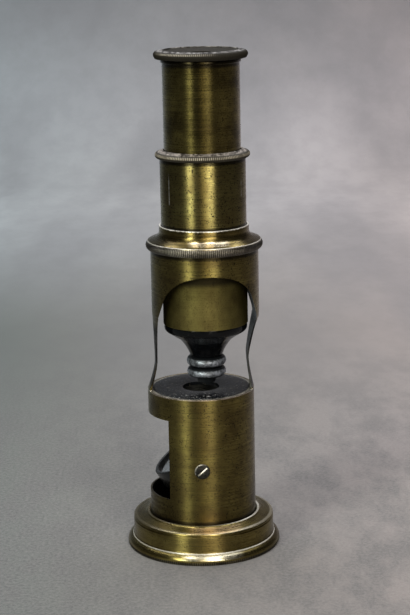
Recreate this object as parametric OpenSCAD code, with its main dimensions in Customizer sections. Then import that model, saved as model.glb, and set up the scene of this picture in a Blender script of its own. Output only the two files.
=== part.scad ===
// Small drum microscope in lacquered brass, in millimetres.
// +Z is up, and the origin is the centre of the foot's underside, on the drum's axis.
// The mirror window faces -X and the mirror's pivot lies along Y.
// The barrel stands a little to +X of the drum, because its two straps are bent.

/* [Foot] */
// Widest diameter of the foot, over its reeded bottom bead
foot_d = 52.2; // [51:0.2:60]
// Radius of the bottom bead, a quarter round with a reeded band
foot_bead_r = 2.1; // [1.8:0.05:2.4]
// Height of the bead's widest place above the table
foot_bead_z = 1.2; // [0.8:0.1:1.6]
// Height of the sharp step above the bead
foot_step_h = 3.5; // [3:0.1:6]
// Diameter of that step
foot_step_d = 48.8; // [48:0.1:50]
// Height of the bevel above the step
foot_bevel_h = 0.4; // [0.2:0.1:0.8]
// Diameter of the straight body above the bevel
foot_body_d = 47.9; // [44:0.1:48]
// Height of the straight body, from the step to the groove
foot_body_h = 5.85; // [4:0.05:8]
// Radius of the turned groove under the top roll
foot_groove_r = 0.35; // [0.2:0.05:0.4]
// Height of the top roll, from the groove to its crest
foot_roll_h = 1.1; // [1:0.1:2]
// Radius of the top roll
foot_roll_r = 0.8; // [0.6:0.05:1]
// How far the foot's top rises from the roll to the lip
foot_rise = 0.65; // [0.2:0.05:1]
// Width of the rounded lip round the drum
foot_lip_w = 1.7; // [1:0.1:2.4]
// Height of that lip above the foot's top
foot_lip_h = 0.4; // [0.2:0.05:0.6]
// Height of the socket's floor, on which the drum stands
foot_floor_h = 3.2; // [2.4:0.1:5]
// Diameter of the hollow under the foot
foot_hollow_d = 43; // [36:0.5:46]
// Depth of the hollow under the foot
foot_hollow_h = 1.2; // [0.6:0.1:1.6]
// Height of the lead weight inside the drum's foot
ballast_h = 6.5; // [3:0.5:8]

/* [Drum and barrel tube] */
// Outer diameter of the drum and the barrel, which are one tube
drum_d = 36; // [34:0.2:38]
// Wall of that tube
tube_wall = 0.6; // [0.5:0.05:0.9]
// Length of the drum, from the foot's socket to its rim
drum_len = 51.6; // [50:0.2:60]
// Height of the mirror window
window_h = 27.6; // [24:0.1:28]
// Band of drum wall above the mirror window
window_band = 7.9; // [6:0.1:10]
// Angle of the drum's circle that the mirror window takes
window_angle = 104.5; // [80:0.5:110]
// Height from the stage's rim to the crown of the arches
arch_h = 41.3; // [38:0.1:46]
// Half width of the arches where they spring from the straps
arch_half_w = 16.35; // [15.9:0.05:16.6]
// Height of the straight flanks above that place
arch_flank_h = 5.8; // [3:0.1:7]
// Lean of those flanks, in degrees
arch_flank_lean = 15; // [5:0.5:20]
// Radius of the arches' crown
arch_crown_r = 24; // [19:0.5:30]
// Radius of the arches' shoulders
arch_side_r = 12; // [9:0.1:13]
// Band of barrel above the arches' crown
barrel_band = 6.5; // [5:0.1:10]
// How far the barrel's axis stands to +X of the drum's axis
barrel_shift = 2.05; // [0:0.05:2.5]
// How far the barrel is twisted on its straps, in degrees
barrel_twist = 5; // [0:0.5:6]

/* [Straps] */
// Height of the -X strap's waist above the stage's rim
left_waist_h = 9.9; // [8:0.1:14]
// Height of the +X strap's waist above the stage's rim
right_waist_h = 11; // [8:0.1:14]
// Height above the rim at which the bend of the +X strap ends
knee_h = 24.8; // [20:0.1:26]
// Half width of a strap at its waist, as an angle of the tube's circle
waist_angle = 12.5; // [10:0.5:15]
// Half width of a strap at the rim, as an angle of the tube's circle
strap_foot_angle = 17; // [15:0.5:22]
// How far the -X strap is bent in at its waist
left_bend = 2.6; // [0:0.1:3]
// How far the +X strap is bent in at its waist
right_bend = 1.75; // [0:0.05:2.5]
// Flattening of the +X strap's curve at the waist, as a share
right_flat = 0.8; // [0:0.05:0.9]
// Flattening of the -X strap's curve at the waist, as a share
left_flat = 0.15; // [0:0.05:0.9]

/* [Stage] */
// Thickness of the stage disc
stage_t = 1.2; // [0.8:0.1:2]
// Diameter of the hole in the stage disc
stage_hole_d = 12.4; // [9:0.1:16]
// Depth of the skirt that seats the stage disc in the drum
stage_skirt_h = 3; // [2:0.1:4]
// Wall of that skirt
stage_skirt_t = 0.6; // [0.4:0.05:1]

/* [Collar and guide sleeve] */
// Height of the collar above the barrel
collar_h = 8.05; // [7.4:0.05:9]
// Diameter over the collar's reeded bead
collar_d = 39; // [38.4:0.1:41]
// Radius of the collar's reeded bead
collar_bead_r = 1.55; // [1.2:0.05:1.7]
// Diameter of the sharp edge above the bead
collar_edge_d = 37.8; // [37.4:0.1:38]
// Height of that edge above the barrel
collar_edge_h = 3.05; // [2.9:0.05:3.4]
// Radius of the collar's cove
collar_cove_r = 2.6; // [2:0.1:3]
// Angle of the cove's circle that is turned, before the slope to the edge
collar_cove_turn = 70; // [60:1:80]
// Diameter of the collar's top lip
collar_lip_d = 29.9; // [29.8:0.1:31]
// Height of the straight lip above the cove
collar_lip_h = 1.7; // [0.6:0.1:2]
// Depth of the collar's spigot inside the barrel
collar_spigot_h = 4; // [2:0.1:5.5]
// Wall of the spring sleeve that guides the focusing tube
sleeve_wall = 0.45; // [0.35:0.05:0.5]
// Thickness of the lip that closes the collar over the sleeve
collar_roof_t = 0.7; // [0.5:0.1:1]
// Length of the spring sleeve
sleeve_len = 12; // [10:0.2:12.4]
// Width of the slits in both spring sleeves
slit_w = 0.5; // [0.3:0.1:0.8]
// Share of a sleeve's length that its slits run up
slit_share = 0.7; // [0.4:0.05:0.8]

/* [Focusing tube] */
// Outer diameter of the focusing tube
tube_d = 28.4; // [27.6:0.1:28.5]
// Length of the focusing tube
tube_len = 55.7; // [53:0.1:65]
// Diameter over the knurled ring at its top
ring_d = 31.4; // [30:0.1:33]
// Height of the knurled ring
ring_h = 2.7; // [2.4:0.1:4]
// Radius of the ring's knurled bead
ring_bead_r = 1; // [0.8:0.05:1.2]
// Diameter at the top of the bevel inside the bead
ring_top_d = 26.1; // [26:0.1:28]
// Depth of the ring's spigot inside the tube
ring_spigot_h = 4; // [2:0.5:6]
// Length of the spring sleeve that guides the draw tube
draw_sleeve_len = 20; // [14:0.5:22]
// Wall of that sleeve
draw_sleeve_wall = 0.45; // [0.35:0.05:0.5]
// Height of the glare stop above the focusing tube's lower end
glare_stop_h = 4; // [3.6:0.1:4.6]
// Diameter of the hole in the glare stop
glare_stop_d = 15; // [10:0.5:18]
// Thickness of the glare stop and of the field stop
stop_t = 1; // [0.6:0.1:1.5]

/* [Nose and objective] */
// Height of the nose, from the objective to the focusing tube
nose_h = 11.2; // [10:0.1:13]
// Diameter of the nose's shoulder, where it meets the focusing tube
nose_d = 27.9; // [26:0.1:28.2]
// Height of the straight band round the shoulder
nose_band_h = 1.3; // [0.8:0.1:1.8]
// Radius of the shoulder's rounding
nose_round_r = 1.7; // [1:0.1:2]
// Diameter at the inner end of the shoulder's underside
nose_flare_d = 18.2; // [16:0.1:19]
// Height of that place above the objective
nose_flare_h = 5.9; // [5:0.1:6.4]
// Diameter of the neck, where the nose meets the objective
neck_d = 10.9; // [9.4:0.1:11.5]
// Bulge of the flare between the neck and the shoulder
flare_sag = 0.4; // [0:0.1:1.2]
// Depth of the nose's spigot inside the focusing tube
nose_spigot_h = 3; // [2:0.1:3.4]
// Height of a lens cell's bead
bead_h = 3.4; // [2.8:0.1:4]
// Diameter of the upper lens cell's bead
upper_bead_d = 13.35; // [12.4:0.05:14]
// Diameter of the lower lens cell's bead
lower_bead_d = 13.1; // [12.4:0.1:14]
// Diameter of the upper cell's thread, in the nose
upper_thread_d = 8.4; // [8:0.1:8.8]
// Length of the upper cell's thread
upper_thread_len = 4.2; // [3.5:0.1:4.6]
// Diameter of the lower cell's thread, in the upper cell
lower_thread_d = 7.3; // [6.8:0.1:7.5]
// Length of the lower cell's thread
lower_thread_len = 2.1; // [1.5:0.1:2.3]
// Diameter of the upper lens
upper_lens_d = 6.4; // [5.6:0.1:6.6]
// Thickness of the upper lens
upper_lens_t = 2; // [1.5:0.1:2.4]
// Diameter of the lower lens, in the tip
lower_lens_d = 4.4; // [3.6:0.1:4.6]
// Thickness of the lower lens
lower_lens_t = 1.3; // [0.8:0.1:1.6]
// Height of the objective's tip
tip_h = 2; // [1.6:0.1:2.6]
// Diameter of the tip at its upper end
tip_top_d = 6.7; // [6.4:0.1:7.5]
// Diameter of the tip's flat end
tip_d = 5.8; // [5.6:0.1:6.4]
// Space between the objective's tip and the stage, in focus
working_gap = 1.9; // [1:0.1:6]

/* [Draw tube and eyepiece] */
// Outer diameter of the draw tube
draw_d = 25.4; // [24.8:0.1:25.5]
// Wall of the draw tube and of the focusing tube
draw_wall = 0.6; // [0.5:0.05:0.7]
// How far the draw tube stands out, from the ring to the cap
draw_out = 29.7; // [10:0.1:34]
// Length of the draw tube
draw_len = 53; // [50:0.5:56]
// Height of the rolled lip at the draw tube's top
draw_lip_h = 1; // [0.6:0.1:1.5]
// How far that lip stands out of the tube
draw_lip_out = 0.45; // [0.2:0.05:0.8]
// Diameter over the knurled cap of the eyepiece
cap_d = 30.9; // [29:0.1:33]
// Height of the cap
cap_h = 2.7; // [2.6:0.1:4.5]
// Radius of the cap's knurled edge
cap_bead_r = 1.15; // [0.9:0.05:1.3]
// Height of the edge's widest place above the cap's underside
cap_bead_z = 1.25; // [1.2:0.05:1.6]
// Diameter of the cap's flat underside
cap_base_d = 29.8; // [28:0.1:30.4]
// Diameter at the top of the bevel inside the knurled edge
cap_top_d = 26; // [25.6:0.1:28]
// Diameter of the dished disc in the cap's top
cap_dish_d = 25; // [20:0.2:25.4]
// Depth of the dish at its rim
cap_dish_h = 0.4; // [0.2:0.1:0.8]
// Extra depth of the dish at the eye hole
cap_dip_h = 0.5; // [0.2:0.1:0.7]
// Diameter of the eye hole
eye_hole_d = 7; // [4:0.5:10]
// Thickness of the cap's top plate
cap_plate_t = 1.5; // [1.4:0.05:2]
// Length of the cap's thread inside the draw tube
cap_thread_len = 6; // [4:0.5:9]
// Wall of the cap's thread
cap_thread_wall = 1.2; // [0.8:0.1:1.5]
// Diameter of the eye lens
eye_lens_d = 12; // [11:0.5:14]
// Thickness of the eye lens
eye_lens_t = 2.6; // [2:0.1:3.4]
// Wall of the boss that holds the eye lens
eye_boss_wall = 1.6; // [1:0.1:2]
// Height of the ring that keeps the eye lens in its boss
eye_ring_h = 1; // [0.8:0.1:1.5]
// Depth of the field stop below the cap
field_stop_depth = 17; // [12:0.5:26]
// Diameter of the hole in the field stop
field_stop_d = 15; // [12:0.5:18]
// Diameter of the field lens
field_lens_d = 21; // [19:0.5:21.5]
// Thickness of the field lens
field_lens_t = 3.2; // [2.4:0.1:4]
// Height of the field lens's cell
field_cell_h = 5.4; // [5:0.2:7]
// Ledge that carries the field lens in its cell
field_ledge = 1; // [0.6:0.1:1.5]

/* [Mirror] */
// Diameter of the mirror's cell
mirror_d = 33; // [30:0.2:33.2]
// Height of the cell above its pivot
cell_rise = 4.2; // [3:0.1:4.4]
// Depth of the cell below its pivot
cell_drop = 2; // [1.6:0.1:2.6]
// Wall of the cell round the glass
cell_wall = 1.4; // [1:0.1:2]
// Thickness of the mirror glass
glass_t = 1.8; // [1.2:0.1:2]
// Hollow of the mirror's face at its centre
glass_sag = 0.4; // [0.1:0.1:0.8]
// Depth of the hollow turned in the back of the cell
cell_back_h = 0.8; // [0.3:0.1:1]
// Height of the pivot above the window's lower edge
pivot_h = 11.1; // [9:0.1:13]
// Tilt of the mirror at rest, in degrees, with its -X side down
mirror_tilt = 31; // [0:1:45]
// Diameter of the pivot pins
pin_d = 1.9; // [1.4:0.1:2]
// How far a pin runs into the cell
pin_depth = 1.6; // [1:0.1:2]
// Diameter of the pivot screws' heads
screw_head_d = 5.1; // [4:0.1:6]
// Height of those heads
screw_head_h = 1; // [0.7:0.1:1.5]
// Width of the slot across a head
slot_w = 0.7; // [0.4:0.1:1]
// Depth of that slot
slot_h = 0.5; // [0.3:0.1:0.6]
// Turn of the front screw's slot from level, in degrees
slot_turn = 42; // [0:1:180]

/* [Fits] */
// Gap round pieces that are soldered or pressed together
seat_gap = 0.02; // [0:0.01:0.04]
// Gap round tubes that slide in their sleeves
slide_gap = 0.05; // [0.02:0.01:0.08]
// Gap round threads and pins that turn
turn_gap = 0.05; // [0.02:0.01:0.08]
// Gap between flat shoulders that screw together
shoulder_gap = 0.3; // [0.1:0.05:0.4]
// Extra radius of the collar's and the ring's openings round their tubes
lip_gap = 0.15; // [0.1:0.05:0.2]

/* [Hidden] */
$fn = 96;

// Length by which a cut runs past the face that it opens
cut = 1;
// Length by which a strap runs into the drum and the barrel
strap_root = 1;
// Inset of a strap's faces where it runs into the tube
strap_inset = 0.045;
// Steps along a strap, and across its width
strap_steps = 28;
strap_sides = 8;
// Steps in a turned curve that is not a circle
curve_steps = 8;

brass = "#a48a3e";
dark_brass = "#6f5f38";
black = "#26262a";
worn_black = "#6d6f72";
lead = "#777a80";
glass = "#cfe3e8";
silvered = "#d8dcdf";

drum_r = drum_d / 2;
drum_ir = drum_r - tube_wall;
foot_groove_z = foot_step_h + foot_body_h;
foot_crest_z = foot_groove_z + foot_roll_h;
foot_top_z = foot_crest_z + foot_rise + foot_lip_h;
rim_z = foot_floor_h + drum_len;
window_z = rim_z - window_band - window_h;
pivot_z = window_z + pivot_h;

arch_side_x = arch_half_w - arch_flank_h * tan(arch_flank_lean) - arch_side_r * cos(arch_flank_lean);
arch_side_y = arch_flank_h - arch_side_r * sin(arch_flank_lean);
arch_crown_y = arch_side_y - sqrt(pow(arch_crown_r - arch_side_r, 2) - pow(arch_side_x, 2));
arch_rise = arch_crown_y + arch_crown_r;
apex_z = rim_z + arch_h;
spring_z = apex_z - arch_rise;
strap_len = spring_z - rim_z;
barrel_top_z = apex_z + barrel_band;
collar_top_z = barrel_top_z + collar_h;

tube_r = tube_d / 2;
tube_ir = tube_r - draw_wall;
sleeve_ir = tube_r + slide_gap;
sleeve_r = sleeve_ir + sleeve_wall;
tip_z = rim_z + working_gap;
lower_bead_z = tip_z + tip_h;
upper_bead_z = lower_bead_z + bead_h + shoulder_gap;
nose_z = upper_bead_z + bead_h + shoulder_gap;
tube_z = nose_z + nose_h;
tube_top_z = tube_z + tube_len;
ring_top_z = tube_top_z + ring_h;

draw_r = draw_d / 2;
draw_ir = draw_r - draw_wall;
draw_sleeve_ir = draw_r + slide_gap;
draw_sleeve_r = draw_sleeve_ir + draw_sleeve_wall;
cap_z = ring_top_z + draw_out;
draw_top_z = cap_z - shoulder_gap;
draw_z = draw_top_z - draw_len;

mirror_r = mirror_d / 2;
glass_r = mirror_r - cell_wall - seat_gap;
glass_z = pin_d / 2 + turn_gap + 0.2;

// A plain tube, standing on the plane z = 0
module tube(r, ir, h) {
    difference() {
        cylinder(r = r, h = h);
        translate([0, 0, -cut]) cylinder(r = ir, h = h + 2 * cut);
    }
}

// Puts its children on the barrel's own axis
module on_barrel(z) {
    translate([barrel_shift, 0, z]) children();
}

// Radius of the sphere that bulges by sag over a disc of radius r
function bulge_r(r, sag) = (r * r + sag * sag) / (2 * sag);

// A lens of radius r and thickness t, flat below and bulging by sag above
module lens(r, t, sag) {
    rotate_extrude()
    intersection() {
        square([r, t]);
        translate([0, t - bulge_r(r, sag)]) circle(r = bulge_r(r, sag), $fn = 360);
    }
}

// Point where a tangent from p touches the circle of radius r round c, on the side given by way
function tangent_point(c, r, p, way = -1) =
    let (
        gap = p - c,
        turn = atan2(gap[1], gap[0]) + way * acos(r / norm(gap))
    )
    [c[0] + r * cos(turn), c[1] + r * sin(turn)];

// The foot: quarter round, sharp step, straight body, groove, top roll and a lip round the drum
module foot() {
    bead_x = foot_d / 2 - foot_bead_r;
    body_r = foot_body_d / 2;
    roll_x = body_r - foot_roll_r;
    lip_x = drum_r + seat_gap + foot_lip_w / 2;
    lip_z = foot_crest_z + foot_rise;
    lip_r = bulge_r(foot_lip_w / 2, foot_lip_h);
    color(brass)
    difference() {
        rotate_extrude() {
            intersection() {
                translate([bead_x, foot_bead_z]) circle(r = foot_bead_r, $fn = 64);
                translate([bead_x, 0]) square([foot_bead_r, foot_step_h]);
            }
            square([bead_x, foot_step_h]);
            translate([0, foot_bead_z]) square([foot_step_d / 2, foot_step_h - foot_bead_z]);
            polygon([
                [0, 0], [bead_x, 0], [foot_step_d / 2, foot_step_h], [body_r, foot_step_h + foot_bevel_h],
                [body_r, foot_crest_z - foot_roll_r], [0, foot_crest_z - foot_roll_r]
            ]);
            translate([roll_x, foot_crest_z - foot_roll_r]) circle(r = foot_roll_r, $fn = 48);
            polygon([
                [0, foot_groove_z], [roll_x, foot_groove_z], [roll_x, foot_crest_z],
                [lip_x + foot_lip_w / 2, lip_z], [0, lip_z]
            ]);
            intersection() {
                translate([lip_x, lip_z + foot_lip_h - lip_r]) circle(r = lip_r, $fn = 96);
                translate([lip_x - foot_lip_w / 2, 0]) square([foot_lip_w, foot_top_z + cut]);
            }
        }
        rotate_extrude() translate([body_r, foot_groove_z]) circle(r = foot_groove_r, $fn = 32);
        translate([0, 0, foot_floor_h]) cylinder(r = drum_r + seat_gap, h = foot_top_z);
        translate([0, 0, -cut]) cylinder(d = foot_hollow_d, h = foot_hollow_h + cut);
    }
}

module foot_ballast() {
    color(lead)
    translate([0, 0, foot_floor_h]) cylinder(r = drum_ir - seat_gap, h = ballast_h);
}

// How far a strap is bent in towards the axis, at a height h above the rim
function bend_in(h, waist_h, at_waist, at_top, top_h) =
    h <= 0 ? 0
    : h < waist_h ? at_waist * (1 - pow(1 - h / waist_h, 1.5))
    : at_waist + (at_top - at_waist) * pow(min(1, (h - waist_h) / (top_h - waist_h)), 1.5);

// Half width of a strap at a height h, as an angle, for a given half width at its top
function half_angle(h, waist_h, at_top) =
    h < waist_h
    ? waist_angle + (strap_foot_angle - waist_angle) * pow(1 - max(0, h) / waist_h, 2)
    : waist_angle + (at_top - waist_angle) * pow(min(1, (h - waist_h) / (strap_len - waist_h)), 1.2);

// Flattening of a strap at a height h: none at its ends, most at its waist
function flat_at(h, most) = most * pow(max(0, sin(180 * min(1, max(0, h) / strap_len))), 2);

// An arc of a strap's section: radius r, bent to the flatter radius r / (1 - flat)
function section_arc(r, outer_r, angle, flat, way) =
    let (soft_r = outer_r / (1 - flat) - outer_r + r)
    [
        for (i = [0:strap_sides])
        let (turn = way * angle * (1 - 2 * i / strap_sides) * r / soft_r)
        [outer_r - soft_r - (outer_r - r) + soft_r * cos(turn), soft_r * sin(turn)]
    ];

// Section of a strap at a height h, side being -1 for the -X strap and 1 for the +X strap
function strap_section(h, side) =
    let (
        waist_h = side < 0 ? left_waist_h : right_waist_h,
        bend = side < 0
            ? bend_in(h, waist_h, left_bend, barrel_shift, strap_len)
            : bend_in(h, waist_h, right_bend, -barrel_shift, knee_h),
        flat = flat_at(h, side < 0 ? left_flat : right_flat),
        root = h > strap_len ? 0.4 : 0.2,
        outer_r = drum_r - strap_inset,
        inner_r = drum_ir + strap_inset,
        outer = half_angle(h, waist_h, acos(arch_half_w / drum_r)) - root,
        inner = half_angle(h, waist_h, acos(arch_half_w / drum_ir)) - root,
        turn = (side < 0 ? 180 : 0) + barrel_twist * min(1, max(0, h) / strap_len),
        points = concat(
            section_arc(outer_r, outer_r, outer, flat, -1),
            section_arc(inner_r, outer_r, inner, flat, 1)
        )
    )
    [
        for (p = points)
        [
            -side * bend + p[0] * cos(turn) - p[1] * sin(turn),
            p[0] * sin(turn) + p[1] * cos(turn),
            rim_z + h
        ]
    ];

// One strap, swept from its root in the drum's wall to its root in the barrel's wall
module strap(side) {
    step = strap_len / strap_steps;
    heights = concat(
        [-strap_root, -strap_root / 20],
        [for (i = [0:strap_steps - 1]) step * (i + 0.4)],
        [strap_len + step * 0.2, strap_len + strap_root]
    );
    rings = [for (h = heights) strap_section(h, side)];
    n = len(rings[0]);
    last = len(rings) - 1;
    walls = [
        for (k = [0:last - 1], i = [0:n - 1])
        let (a = k * n + i, b = k * n + (i + 1) % n)
        each [[a, a + n, b], [b, a + n, b + n]]
    ];
    ends = [
        for (i = [0:strap_sides - 1])
        let (a = i, b = i + 1, c = n - 2 - i, d = n - 1 - i)
        each [
            [a, b, d], [b, c, d],
            [last * n + d, last * n + b, last * n + a], [last * n + d, last * n + c, last * n + b]
        ]
    ];
    polyhedron(points = [for (ring = rings) each ring], faces = concat(walls, ends), convexity = 4);
}

// Points along an arc of radius r round c, from angle a to angle b
function arc_points(c, r, a, b, n) =
    [for (i = [0:n]) let (turn = a + (b - a) * i / n) c + r * [cos(turn), sin(turn)]];

// The opening of the front and back arches: straight flanks, two shoulders and a crown
module arch_profile() {
    turn = atan2(arch_side_y - arch_crown_y, arch_side_x);
    lean = arch_flank_lean;
    crown = arc_points([0, arch_crown_y], arch_crown_r, turn, 180 - turn, 8);
    polygon(concat(
        [[arch_half_w, -2 * cut], [arch_half_w, 0]],
        arc_points([arch_side_x, arch_side_y], arch_side_r, lean, turn, 16),
        [for (i = [1:len(crown) - 2]) crown[i]],
        arc_points([-arch_side_x, arch_side_y], arch_side_r, 180 - turn, 180 - lean, 16),
        [[-arch_half_w, 0], [-arch_half_w, -2 * cut]]
    ));
}

// Drum, straps and barrel: one tube, cut open for the mirror and by two arches
module drum_frame() {
    reach = drum_d;
    edge = reach * tan(window_angle / 2);
    color(brass) {
        difference() {
            translate([0, 0, foot_floor_h]) tube(drum_r, drum_ir, drum_len);
            translate([0, 0, window_z]) linear_extrude(height = window_h)
                polygon([[0, 0], [-reach, edge], [-reach, -edge]]);
            translate([0, 0, pivot_z]) rotate([90, 0, 0])
                cylinder(d = pin_d + 2 * turn_gap, h = 2 * drum_d, center = true);
        }
        on_barrel(spring_z) rotate([0, 0, barrel_twist])
            difference() {
                tube(drum_r, drum_ir, barrel_top_z - spring_z);
                rotate([90, 0, 0]) linear_extrude(height = 2 * drum_d, center = true) arch_profile();
            }
        strap(-1);
        strap(1);
    }
}

// Blackened stage disc, pressed into the drum's rim on its own skirt
module stage_disc() {
    seat_r = drum_ir - seat_gap;
    color(black)
    translate([0, 0, rim_z])
    difference() {
        translate([0, 0, -stage_t - stage_skirt_h]) cylinder(r = seat_r, h = stage_t + stage_skirt_h);
        translate([0, 0, -stage_t - stage_skirt_h - cut])
            cylinder(r = seat_r - stage_skirt_t, h = stage_skirt_h + cut);
        translate([0, 0, -stage_t - cut]) cylinder(d = stage_hole_d, h = stage_t + 2 * cut);
    }
}

// Turned collar with a reeded bead, a sharp edge, a cove and a straight lip
module collar() {
    bore_r = sleeve_r + seat_gap;
    lip_r = collar_lip_d / 2;
    edge_r = collar_edge_d / 2;
    cove = [lip_r + collar_cove_r, collar_h - collar_lip_h];
    cove_end = cove - collar_cove_r * [cos(collar_cove_turn), sin(collar_cove_turn)];
    bead_x = collar_d / 2 - collar_bead_r;
    color(brass)
    on_barrel(barrel_top_z)
    difference() {
        union() {
            rotate_extrude() {
                difference() {
                    polygon([
                        [0, 0], [bead_x, 0], [bead_x, collar_bead_r], [edge_r, collar_bead_r],
                        [edge_r, collar_edge_h], cove_end, cove, [lip_r, cove[1]],
                        [lip_r, collar_h], [0, collar_h]
                    ]);
                    translate(cove) circle(r = collar_cove_r, $fn = 96);
                }
                translate([bead_x, collar_bead_r]) circle(r = collar_bead_r, $fn = 64);
            }
            translate([0, 0, -collar_spigot_h])
                cylinder(r = drum_ir - seat_gap, h = collar_spigot_h + collar_bead_r);
        }
        translate([0, 0, -collar_spigot_h - cut])
            cylinder(r = bore_r, h = collar_spigot_h + collar_h - collar_roof_t + cut);
        translate([0, 0, -cut]) cylinder(r = tube_r + lip_gap, h = collar_h + 2 * cut);
    }
}

// A thin tube with four slits from its lower end, sprung against the tube inside it
module spring_sleeve(r, ir, h) {
    difference() {
        tube(r, ir, h);
        for (turn = [45, 135]) rotate([0, 0, turn])
            translate([-2 * r, -slit_w / 2, -cut]) cube([4 * r, slit_w, cut + h * slit_share]);
    }
}

module guide_sleeve() {
    color(dark_brass)
    on_barrel(collar_top_z - collar_roof_t - seat_gap - sleeve_len)
        spring_sleeve(sleeve_r, sleeve_ir, sleeve_len);
}

// A slotted pivot screw, its head on the plane z = 0 and its pin below it
module pivot_screw(turn) {
    pin_len = drum_r - mirror_r + pin_depth;
    dome = bulge_r(screw_head_d / 2, screw_head_h / 3);
    color(worn_black)
    difference() {
        union() {
            intersection() {
                cylinder(d = screw_head_d, h = screw_head_h);
                translate([0, 0, screw_head_h - dome]) sphere(r = dome, $fn = 180);
            }
            translate([0, 0, -pin_len]) cylinder(d = pin_d, h = pin_len + screw_head_h / 3);
        }
        rotate([0, 0, turn]) translate([-screw_head_d, -slot_w / 2, screw_head_h - slot_h])
            cube([2 * screw_head_d, slot_w, slot_h + cut]);
    }
}

module front_pivot_screw() {
    translate([0, -drum_r - seat_gap, pivot_z]) rotate([90, 0, 0]) pivot_screw(slot_turn);
}

module rear_pivot_screw() {
    translate([0, drum_r + seat_gap, pivot_z]) rotate([-90, 0, 0]) pivot_screw(0);
}

// Puts its children on the mirror's pivot, at the tilt that the mirror has at rest
module on_pivot() {
    translate([0, 0, pivot_z]) rotate([0, -mirror_tilt, 0]) children();
}

// Turned cell of the mirror, with a seat for the glass and a hole each side for the pins
module mirror_cell() {
    color(black)
    on_pivot()
    difference() {
        translate([0, 0, -cell_drop]) cylinder(r = mirror_r, h = cell_drop + cell_rise);
        translate([0, 0, glass_z]) cylinder(r = mirror_r - cell_wall, h = cell_rise);
        translate([0, 0, -cell_drop - cut])
            cylinder(r = mirror_r - pin_depth - 2 * cell_wall, h = cut + cell_back_h);
        for (side = [-1, 1]) rotate([90 * side, 0, 0])
            translate([0, 0, mirror_r - pin_depth - shoulder_gap])
                cylinder(d = pin_d + 2 * turn_gap, h = pin_depth + shoulder_gap + cut);
    }
}

// Silvered glass with a slightly hollow face
module mirror_glass() {
    hollow = bulge_r(glass_r, glass_sag);
    color(silvered)
    on_pivot()
    translate([0, 0, glass_z + seat_gap])
    rotate_extrude()
    difference() {
        square([glass_r, glass_t]);
        translate([0, glass_t + hollow - glass_sag]) circle(r = hollow, $fn = 720);
    }
}

module focus_tube() {
    color(brass) on_barrel(tube_z) tube(tube_r, tube_ir, tube_len);
}

// Knurled ring at the top of the focusing tube, with a spigot inside the tube
module tube_ring() {
    bead = [ring_d / 2 - ring_bead_r, ring_bead_r];
    top = [ring_top_d / 2, ring_h];
    color(dark_brass)
    on_barrel(tube_top_z)
    difference() {
        union() {
            rotate_extrude() {
                translate(bead) circle(r = ring_bead_r, $fn = 64);
                polygon([
                    [0, 0], [bead[0], 0], bead, tangent_point(bead, ring_bead_r, top), top, [0, ring_h]
                ]);
            }
            translate([0, 0, -ring_spigot_h]) cylinder(r = tube_ir - seat_gap, h = ring_spigot_h + 1);
        }
        translate([0, 0, -ring_spigot_h - cut])
            cylinder(r = draw_sleeve_r + seat_gap, h = ring_spigot_h + cut + ring_h - collar_roof_t);
        cylinder(r = draw_r + lip_gap, h = ring_h + cut);
    }
}

module draw_sleeve() {
    color(dark_brass)
    on_barrel(ring_top_z - collar_roof_t - seat_gap - draw_sleeve_len)
        spring_sleeve(draw_sleeve_r, draw_sleeve_ir, draw_sleeve_len);
}

module glare_stop() {
    color(black)
    on_barrel(tube_z + glare_stop_h)
        tube(tube_ir - seat_gap, glare_stop_d / 2, stop_t);
}

// Points of the hollow flare that joins the neck to the shoulder of the nose
function flare_points() =
    let (
        low = [neck_d / 2, 0],
        high = [nose_flare_d / 2, nose_flare_h],
        along = high - low,
        side = [-along[1], along[0]] / norm(along)
    )
    [
        for (i = [0:curve_steps])
        let (s = i / curve_steps)
        low + along * s + side * flare_sag * 4 * s * (1 - s)
    ];

// Blackened nose: spigot, banded shoulder with a rounded edge, and a flared neck
module nose_cone() {
    band_z = nose_h - nose_band_h;
    round = [nose_d / 2 - nose_round_r, band_z];
    under = [nose_flare_d / 2, nose_flare_h];
    touch = tangent_point(round, nose_round_r, under, 1);
    thread_top = upper_thread_len + 1;
    color(black)
    on_barrel(nose_z)
    difference() {
        rotate_extrude() {
            translate(round) circle(r = nose_round_r, $fn = 64);
            polygon(concat(
                [[0, nose_h], [0, 0]],
                flare_points(),
                [touch, round, [nose_d / 2, band_z], [nose_d / 2, nose_h]]
            ));
            translate([0, nose_h - nose_band_h])
                square([tube_ir - seat_gap, nose_band_h + nose_spigot_h]);
        }
        translate([0, 0, -cut]) cylinder(d = upper_thread_d + 2 * turn_gap, h = thread_top + cut);
        translate([0, 0, thread_top])
            cylinder(
                d1 = upper_thread_d + 2 * turn_gap, d2 = nose_flare_d,
                h = nose_h + nose_spigot_h - thread_top
            );
        translate([0, 0, nose_h + nose_spigot_h - 0.01]) cylinder(d = nose_flare_d, h = cut);
    }
}

// Outer form of a lens cell: a half-round bead with a thread above it
module cell_form(bead_d, thread_d, thread_len) {
    roll_r = bead_h / 2;
    rotate_extrude() {
        translate([bead_d / 2 - roll_r, roll_r]) circle(r = roll_r, $fn = 48);
        square([bead_d / 2 - roll_r, bead_h]);
    }
    cylinder(d = thread_d, h = bead_h + shoulder_gap + thread_len);
}

module upper_lens_cell() {
    top = bead_h + shoulder_gap + upper_thread_len;
    seat_z = top - upper_lens_t - 0.3;
    color(worn_black)
    on_barrel(upper_bead_z)
    difference() {
        cell_form(upper_bead_d, upper_thread_d, upper_thread_len);
        translate([0, 0, -cut]) cylinder(d = upper_lens_d - 1.2, h = top + 2 * cut);
        translate([0, 0, seat_z]) cylinder(d = upper_lens_d + 2 * seat_gap, h = top);
        translate([0, 0, -cut])
            cylinder(d = lower_thread_d + 2 * turn_gap, h = cut + lower_thread_len + shoulder_gap);
    }
}

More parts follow.
